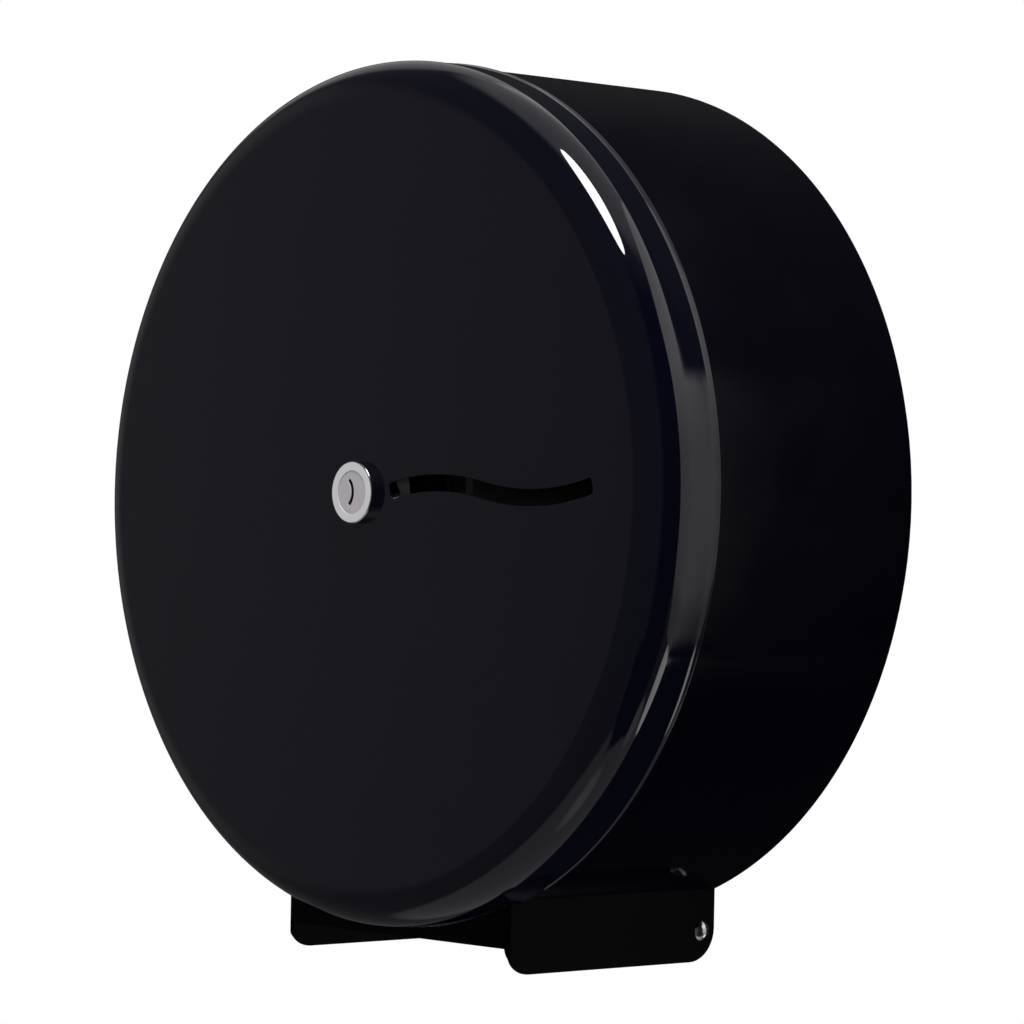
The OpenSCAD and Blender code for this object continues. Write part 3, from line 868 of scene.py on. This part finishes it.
@dataclass
class OutletBracket(Assembly):
    """The bent sheet around the paper outlet: a web in front and an ear each side."""

    half: float = 54.7
    sheet: float = 1.0
    rear: float = 6.0
    front: float = 97.5
    bend: float = 2.0
    cap_r: float = 140.0
    tab_front: float = 90.5
    ear_top: float = -120.0
    ear_bottom: float = -151.4
    web_bottom: float = -143.0
    front_r: float = 9.2
    rear_r: float = 11.0
    pivot: Point = (11.7, -141.4)
    pivot_r: float = 2.05
    edge: float = 0.22
    rim_steps: int = 16
    corner_steps: int = 12
    hole_steps: int = 32

    def build(self) -> None:
        """Builds the bracket and dresses it."""
        mid = self.bend - self.sheet / 2
        ear = self.front - self.bend - self.rear
        web = 2 * (self.half - self.bend)
        turn = mid * QUARTER
        fold = Fold(
            (-(self.half - self.sheet / 2), self.rear),
            90,
            ((ear, 0), (turn, 1 / mid), (web, 0), (turn, 1 / mid), (ear, 0)),
        )
        whole = fold.length()
        low_front = (self.front - self.front_r - self.rear, self.ear_bottom + self.front_r)
        low_rear = (self.rear_r, self.ear_bottom + self.rear_r)
        tab = self.tab_front - self.rear
        rim = [fold.at(ear + (turn * k / BEND_STEPS))[0][0] for k in range(BEND_STEPS + 1)]
        under_rim = [
            (ear + turn * k / BEND_STEPS, -math.sqrt(self.cap_r**2 - x * x))
            for k, x in enumerate(rim)
        ]
        under_rim += [
            (whole / 2 + x, -math.sqrt(self.cap_r**2 - x * x))
            for x in (web * (k / (2 * self.rim_steps) - 0.5) for k in range(1, self.rim_steps + 1))
        ]
        stop = math.degrees(math.asin((self.web_bottom - low_front[1]) / self.front_r))
        half = [
            (ear + turn, self.web_bottom),
            *arc(low_front, self.front_r, stop, -90, self.corner_steps),
            *arc(low_rear, self.rear_r, -90, -180, self.corner_steps),
            (0.0, self.ear_top),
            (tab, self.ear_top),
            (tab, under_rim[0][1]),
            *under_rim,
        ]
        outline = half + [(whole - s, y) for s, y in reversed(half[:-1])]
        near = self.pivot[0] - self.rear
        holes = [
            circle(self.pivot_r, self.hole_steps, (s, self.pivot[1]))
            for s in (near, whole - near)
        ]
        sketch = Sketch()
        sketch.bent(fold, outline, self.sheet, lambda a, b, side: (a, side, b), holes)
        # The bracket wears the darker copy of the satin paint: painted shade
        self.put(sketch, "outlet_folded", "outlet_bracket", Body.COVER, Finishes.SATIN_PAINTED_SHADE, self.edge)


@dataclass
class TearBar(Assembly):
    """The toothed bar that the paper is torn on, with a tab bent back at each end."""

    half: float = 53.7
    thickness: float = 0.8
    front: float = 89.2
    tab: float = 9.0
    bend: float = 1.3
    tip: float = -142.5
    top: float = -126.5
    tooth: float = 2.5
    teeth: int = 26
    corner: float = 1.5
    edge: float = 0.12

    def build(self) -> None:
        """Builds the bar and dresses it."""
        mid = self.bend - self.thickness / 2
        leg = self.tab - self.bend
        web = 2 * (self.half - self.bend)
        turn = mid * QUARTER
        fold = Fold(
            (-(self.half - self.thickness / 2), self.front - self.tab),
            90,
            ((leg, 0), (turn, 1 / mid), (web, 0), (turn, 1 / mid), (leg, 0)),
        )
        whole = fold.length()
        root = self.tip + self.tooth
        start = leg + turn
        pitch = web / self.teeth
        comb: list[Point] = []
        for i in range(self.teeth):
            comb += [(start + i * pitch, root), (start + (i + 0.5) * pitch, self.tip)]
        outline = rounded(
            [
                (0, self.top, self.corner),
                (0, root, self.corner),
                *[(s, y, 0) for s, y in comb],
                (whole - start, root, 0),
                (whole, root, self.corner),
                (whole, self.top, self.corner),
            ]
        )
        sketch = Sketch()
        sketch.bent(fold, outline, self.thickness, lambda a, b, side: (a, side, b))
        self.put(sketch, "tear_blade", "tear_bar", Body.COVER, Finishes.STAINLESS, self.edge)


# ---- Lock ----


@dataclass
class CamLock(Assembly):
    """The cam lock: a chromed housing, and a plug with a curved keyway."""

    face: float = 116.0
    flange_r: float = 10.0
    flange_h: float = 3.0
    chamfer: float = 0.3
    barrel_r: float = 8.5
    barrel_flat: float = 7.8
    barrel_end: float = 101.0
    seat_edge: float = 0.15
    flange_edge: float = 0.2
    bore_edge: float = 0.12
    neck_gap: float = 0.3
    shoulder: float = 112.5
    plug_r: float = 6.9
    plug_edge: float = 0.15
    plug_sink: float = 0.2
    shaft_r: float = 5.0
    play: float = 0.05
    cam_front: float = 100.7
    cam_rear: float = 99.2
    drive: float = 6.0
    key_width: float = 1.2
    key_curve: float = 5.2
    key_bulge: float = 0.35
    key_bend: float = 50.0
    key_depth: float = 9.0
    key_edge: float = 0.1
    key_steps: int = 24

    def housing(self) -> None:
        """Builds the chromed housing."""
        top = self.face + self.flange_h
        bore = self.plug_r + self.play
        shaft = self.shaft_r + self.play
        neck = self.shoulder - self.neck_gap
        flange = rounded(
            [
                (self.flange_r, self.face, self.seat_edge),
                (self.flange_r, top - self.chamfer, self.flange_edge),
                (self.flange_r - self.chamfer, top, self.flange_edge),
                (bore, top, self.bore_edge),
                (bore, neck, 0.0),
                (shaft, neck, 0.0),
                (shaft, self.barrel_end, self.flange_edge),
            ]
        )
        barrel = flatted(self.barrel_r, self.barrel_flat, MEDIUM)
        rings = [ring(r, z) for r, z in flange]
        rings += [lifted(barrel, z) for z in (self.barrel_end, self.face)]
        sketch = Sketch()
        sketch.loft(rings)
        self.put(sketch, "lock_body_chromed", "lock_housing", Body.COVER, Finishes.CHROME)

    def keyway(self, grow: float) -> list[Point]:
        """Draws the keyway's outline, grown by a small amount all round."""
        bend, half = self.key_bend, self.key_width / 2 + grow
        hub = (self.key_bulge - self.key_curve, 0.0)
        wider = bend + math.degrees(grow / self.key_curve)
        return [
            *arc(hub, self.key_curve + half, -wider, wider, self.key_steps),
            *arc(hub, self.key_curve - half, wider, -wider, self.key_steps),
        ]

    def plug(self) -> None:
        """Builds the key plug, its keyway cut from the face."""
        sketch = Sketch()
        face = self.face + self.flange_h - self.plug_sink
        rim = self.plug_edge
        section = [
            *arc((self.plug_r - rim, face - rim), rim, 90, 0, 3),
            (self.plug_r, self.shoulder),
            (self.shaft_r, self.shoulder),
            (self.shaft_r, self.cam_front),
        ]
        half = self.drive / 2
        square = [
            (max(-half, min(half, x)), max(-half, min(half, y)))
            for x, y, _ in ring(self.shaft_r, 0.0)
        ]
        rings = [ring(r, z) for r, z in section]
        rings += [lifted(square, z) for z in (self.cam_front, self.cam_rear)]
        rings.append([(0.0, 0.0, self.cam_rear)])
        sketch.loft(rings, closed=False)
        floor = face - self.key_depth
        mouth, keyway = self.keyway(self.key_edge), self.keyway(0.0)
        sketch.skin(circle(self.plug_r - rim, MEDIUM), face, [mouth])
        sketch.loft(
            [lifted(mouth, face), lifted(keyway, face - self.key_edge), lifted(keyway, floor)],
            closed=False,
        )
        sketch.skin(keyway, floor)
        self.put(sketch, "lock_plug_turned", "lock_plug", Body.LOCK, Finishes.PLUG)

    def build(self) -> None:
        """Builds the lock and dresses the parts behind the face."""
        self.housing()
        self.plug()
        self.dress(Finishes.ZINC, "lock_washer", "lock_nut", "lock_cam", "cam_screw")
        self.dress(Finishes.BRASS, "lock_wafers")


# ---- Hinge, back plate, spindle and latch ----


@dataclass
class Hinge(Assembly):
    """The two rivets that the shell swings on, with their nylon washers."""

    pivot: Point = (-141.4, 11.7)
    lug_in: float = 51.25
    head_from: float = 54.85
    shank_r: float = 2.0
    head_r: float = 3.3
    head_h: float = 1.9
    tail_h: float = 1.0
    tail_edge: float = 0.35
    seat_edge: float = 0.15
    dome_steps: int = 14
    segments: int = 64

    def build(self) -> None:
        """Builds the rivets and dresses the bracket and washers."""
        ball = (self.head_r**2 + self.head_h**2) / (2 * self.head_h)
        reach = math.degrees(math.asin(self.head_r / ball))
        hub = (0.0, self.head_from + self.head_h - ball)
        dome = arc(hub, ball, 90 - reach, 90, self.dome_steps)
        tail = self.lug_in - self.tail_h
        section = rounded(
            [
                (0.0, tail, 0),
                (self.head_r, tail, self.tail_edge),
                (self.head_r, self.lug_in, self.seat_edge),
                (self.shank_r, self.lug_in, 0),
                (self.shank_r, self.head_from, 0),
                *[(r, z, 0) for r, z in dome[:-1]],
                (0.0, self.head_from + self.head_h, 0),
            ]
        )
        sketch = Sketch()
        for side in (1, -1):
            sketch.place = Matrix.Translation((0, *self.pivot)) @ Matrix.Rotation(
                side * QUARTER, 4, "Y"
            )
            sketch.turn(section, self.segments)
        self.put(sketch, "hinge_rivets_headed", "hinge_rivets", Body.BASE, Finishes.RIVET)
        self.dress(Finishes.POWDER, "hinge_bracket")
        self.dress(Finishes.NYLON, "hinge_washers")


@dataclass
class WallBase(Assembly):
    """The back plate on the wall, with the rivets that hold the hinge bracket."""

    def build(self) -> None:
        """Dresses the plate and its rivets."""
        self.dress(Finishes.POWDER, "back_plate")
        self.dress(Finishes.ZINC, "bracket_rivets")


@dataclass
class Spindle(Assembly):
    """The post that carries the roll hub, with its washers, circlip and latch."""

    def build(self) -> None:
        """Dresses the spindle's pieces."""
        self.dress(Finishes.ZINC, "spindle_post", "spindle_rivets", "rear_washer", "front_washer")
        self.dress(Finishes.ZINC, "latch_strike", "strike_screw")
        self.dress(Finishes.SPRING, "spindle_circlip")
        self.dress(Finishes.HUB, "core_hub")


# ---- Studio ----


def aim(azimuth: float, elevation: float) -> Vector:
    """Turns two angles, in degrees, into a direction: 0 is the front, 90 the right."""
    a, e = math.radians(azimuth), math.radians(elevation)
    return Vector((math.sin(a) * math.cos(e), -math.cos(a) * math.cos(e), math.sin(e)))


@dataclass(frozen=True)
class Softbox:
    """A soft oval light with an even radiance, facing down.

    Its long side points at an azimuth.
    """

    name: str
    centre: Spot
    long: float
    wide: float
    azimuth: float
    radiance: float

    def build(self) -> None:
        """Adds the light."""
        lamp = bpy.data.lights.new(self.name, "AREA")
        lamp.shape = "ELLIPSE"
        lamp.size, lamp.size_y = self.long, self.wide
        lamp.energy = self.radiance * math.pi * self.long * self.wide * math.pi / 4
        made = bpy.data.objects.new(self.name, lamp)
        made.location = self.centre
        made.rotation_euler.z = math.radians(self.azimuth - 90)
        bpy.context.scene.collection.objects.link(made)


@dataclass(frozen=True)
class Patch:
    """A part of the room with an even brightness, as the object's reflections see it.

    It lies where all its edges overlap. An edge is an axis's azimuth and
    elevation, the angle out to the edge, and the angle over which it fades.
    """

    level: float
    edges: tuple[tuple[float, float, float, float], ...]

    def paint(
        self, tree: Tree, way: Socket, base: Socket
    ) -> Socket:
        """Paints the patch over a brightness.

        Args:
            tree: The world's nodes.
            way: The direction that is looked in.
            base: The brightness so far.

        Returns:
            The brightness with the patch.
        """
        share: Socket | float = 1.0
        for azimuth, elevation, angle, fade in self.edges:
            near = add(
                tree, "VectorMath", {0: way, 1: aim(azimuth, elevation)}, operation="DOT_PRODUCT"
            )
            within = add(
                tree,
                "MapRange",
                {
                    "Value": near.outputs["Value"],
                    "From Min": math.cos(math.radians(angle + fade / 2)),
                    "From Max": math.cos(math.radians(angle - fade / 2)),
                },
                interpolation_type="SMOOTHSTEP",
            )
            share = add(
                tree, "Math", {0: within.outputs[0], 1: share}, operation="MULTIPLY"
            ).outputs[0]
        return mix(tree, share, base, self.level)


def above(elevation: float, fade: float) -> tuple[float, float, float, float]:
    """Makes the edge below which a patch ends."""
    return (0.0, 90.0, 90.0 - elevation, fade)


def below(elevation: float, fade: float) -> tuple[float, float, float, float]:
    """Makes the edge above which a patch ends."""
    return (0.0, -90.0, 90.0 + elevation, fade)


def right_of(azimuth: float, fade: float) -> tuple[float, float, float, float]:
    """Makes a patch's left edge, seen from the object: it goes on for half a turn."""
    return (azimuth + 90.0, 0.0, 90.0, fade)


def left_of(azimuth: float, fade: float) -> tuple[float, float, float, float]:
    """Makes a patch's right edge, seen from the object: it goes on for half a turn."""
    return (azimuth - 90.0, 0.0, 90.0, fade)


# The white wall on the right and the dark one behind, as a patch's first edges
WHITE_WALL = ((140, 10, 47.5, 1.5), right_of(98, 2))
DARK_WALL = ((-177.5, 0, 47.5, 0.4),)


@dataclass(frozen=True)
class Studio:
    """The plain studio: a pale floor, soft panels, a white surround and the camera."""

    fill_level: float = 0.52
    room_level: float = 0.08
    floor_drop: float = 1.0
    floor_r: float = 3.0
    azimuth: float = 47.98
    elevation: float = -0.5
    roll: float = 1.05
    distance: float = 1346.02
    lens: float = 143.69
    target: Spot = (12.25, -66.0, -5.08)

    softbox: Softbox = Softbox("overhead_softbox", (0.58, -0.64, 1.72), 1.07, 0.62, 62.0, 24.0)
    room: tuple[Patch, ...] = (
        # Pale floor in front
        Patch(0.3, (below(-48, 6),)),
        Patch(0.62, ((50, -72, 8, 8),)),
        # Grey walls on the left, brighter behind, under a dark and a pale ceiling
        Patch(0.22, ((-72, 5, 18, 30),)),
        Patch(0.45, ((-130, 36, 26, 14), above(20, 8))),
        Patch(0.95, ((-160, 50, 17, 4),)),
        Patch(0.07, ((-58, 62, 30, 8), above(51, 8), below(72, 8))),
        Patch(0.55, ((180, 80, 30, 12),)),
        # Black flag on the right of the camera, and its foot
        Patch(0.012, (right_of(47, 14), left_of(98, 2), above(-57, 3), below(50, 12))),
        Patch(0.015, ((68, -28, 30, 3), below(-28, 4))),
        Patch(0.5, ((110, -52, 6, 4),)),
        # White wall on the right, brightest at its top
        Patch(0.4, (*WHITE_WALL, above(-30, 2))),
        Patch(0.62, (*WHITE_WALL, above(-20, 8))),
        Patch(0.7, (*WHITE_WALL, above(-8, 16))),
        Patch(1.3, (*WHITE_WALL, above(22, 30))),
        # Dark floor behind, with a small bright panel low on its right
        Patch(0.01, ((180, -30, 34, 3),)),
        Patch(2.4, ((136, -38, 10.5, 2), below(-30, 2), left_of(143, 1.5))),
        # Dark wall behind, a little wider and a shade lighter towards its top
        Patch(0.03, ((-177.5, 0, 48.2, 0.4), above(23, 4))),
        Patch(0.008, DARK_WALL),
        Patch(0.05, (*DARK_WALL, above(20, 40))),
    )

    def world(self) -> None:
        """Makes the surround: white behind, and a grey room in reflections."""
        made = bpy.data.worlds.new("studio")
        made.use_nodes = True
        tree = made.node_tree
        tree.nodes.clear()
        way = add(tree, "TexCoord", {}).outputs["Generated"]
        level = add(tree, "Value", {}).outputs[0]
        level.default_value = self.room_level
        for patch in self.room:
            level = patch.paint(tree, way, level)
        path = add(tree, "LightPath", {})
        lit = mix(tree, path.outputs["Is Diffuse Ray"], level, self.fill_level)
        seen = mix(tree, path.outputs["Is Camera Ray"], lit, 1.0)
        sky = add(tree, "Background", {"Color": (1, 1, 1, 1), "Strength": seen})
        add(tree, "OutputWorld", {"Surface": sky.outputs[0]})
        bpy.context.scene.world = made

    def floor(self) -> None:
        """Lays a pale floor well below the wall-mounted object."""
        shape = bmesh.new()
        rim = [shape.verts.new((x, y, -self.floor_drop)) for x, y in circle(self.floor_r, MEDIUM)]
        shape.faces.new(rim)
        data = bpy.data.meshes.new("floor")
        shape.to_mesh(data)
        shape.free()
        made = bpy.data.objects.new("floor", data)
        bpy.context.scene.collection.objects.link(made)
        paint = bpy.data.materials.new("pale_floor")
        paint.use_nodes = True
        tree = paint.node_tree
        tree.nodes.clear()
        path = add(tree, "LightPath", {})
        pale = add(tree, "BsdfDiffuse", {"Color": linear("#efefef")})
        white = add(tree, "Emission", {"Color": linear("#ffffff"), "Strength": 1.0})
        clear = add(tree, "BsdfTransparent", {})
        matt = add(
            tree,
            "MixShader",
            {0: path.outputs["Is Glossy Ray"], 1: pale.outputs[0], 2: clear.outputs[0]},
        )
        seen = add(
            tree,
            "MixShader",
            {0: path.outputs["Is Camera Ray"], 1: matt.outputs[0], 2: white.outputs[0]},
        )
        add(tree, "OutputMaterial", {"Surface": seen.outputs[0]})
        data.materials.append(paint)

    def camera(self) -> None:
        """Sets the camera at the photograph's viewing angle."""
        roll = math.radians(self.roll)
        back = aim(self.azimuth, self.elevation)
        level = aim(self.azimuth + 90, 0)
        up = back.cross(level)
        right = level * math.cos(roll) + up * math.sin(roll)
        top = up * math.cos(roll) - level * math.sin(roll)
        across, out, rise = self.target
        target = level * across + Vector((0, out, rise))
        lens = bpy.data.cameras.new("camera")
        lens.lens = self.lens
        lens.sensor_width = 36.0
        made = bpy.data.objects.new("camera", lens)
        turn = Matrix((right, top, back)).transposed().to_4x4()
        made.matrix_world = Matrix.Translation((target + back * self.distance) * MM) @ turn
        bpy.context.scene.collection.objects.link(made)
        bpy.context.scene.camera = made

    def build(self) -> None:
        """Builds the whole studio."""
        bpy.context.scene.view_settings.view_transform = "Standard"
        self.world()
        self.floor()
        self.camera()
        self.softbox.build()


def main() -> None:
    """Builds the studio and every sub-assembly."""
    logging.basicConfig(level=logging.INFO, format="%(name)s: %(message)s")
    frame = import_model()
    Studio().build()
    finishes = Finishes()
    for kind in (WallBase, Hinge, Spindle, DrumBand, FrontCap, OutletBracket, TearBar, CamLock):
        kind(finishes, frame["nodes"]).build()
        LOG.info("%s is done", kind.__name__)


if __name__ == "__main__":
    main()
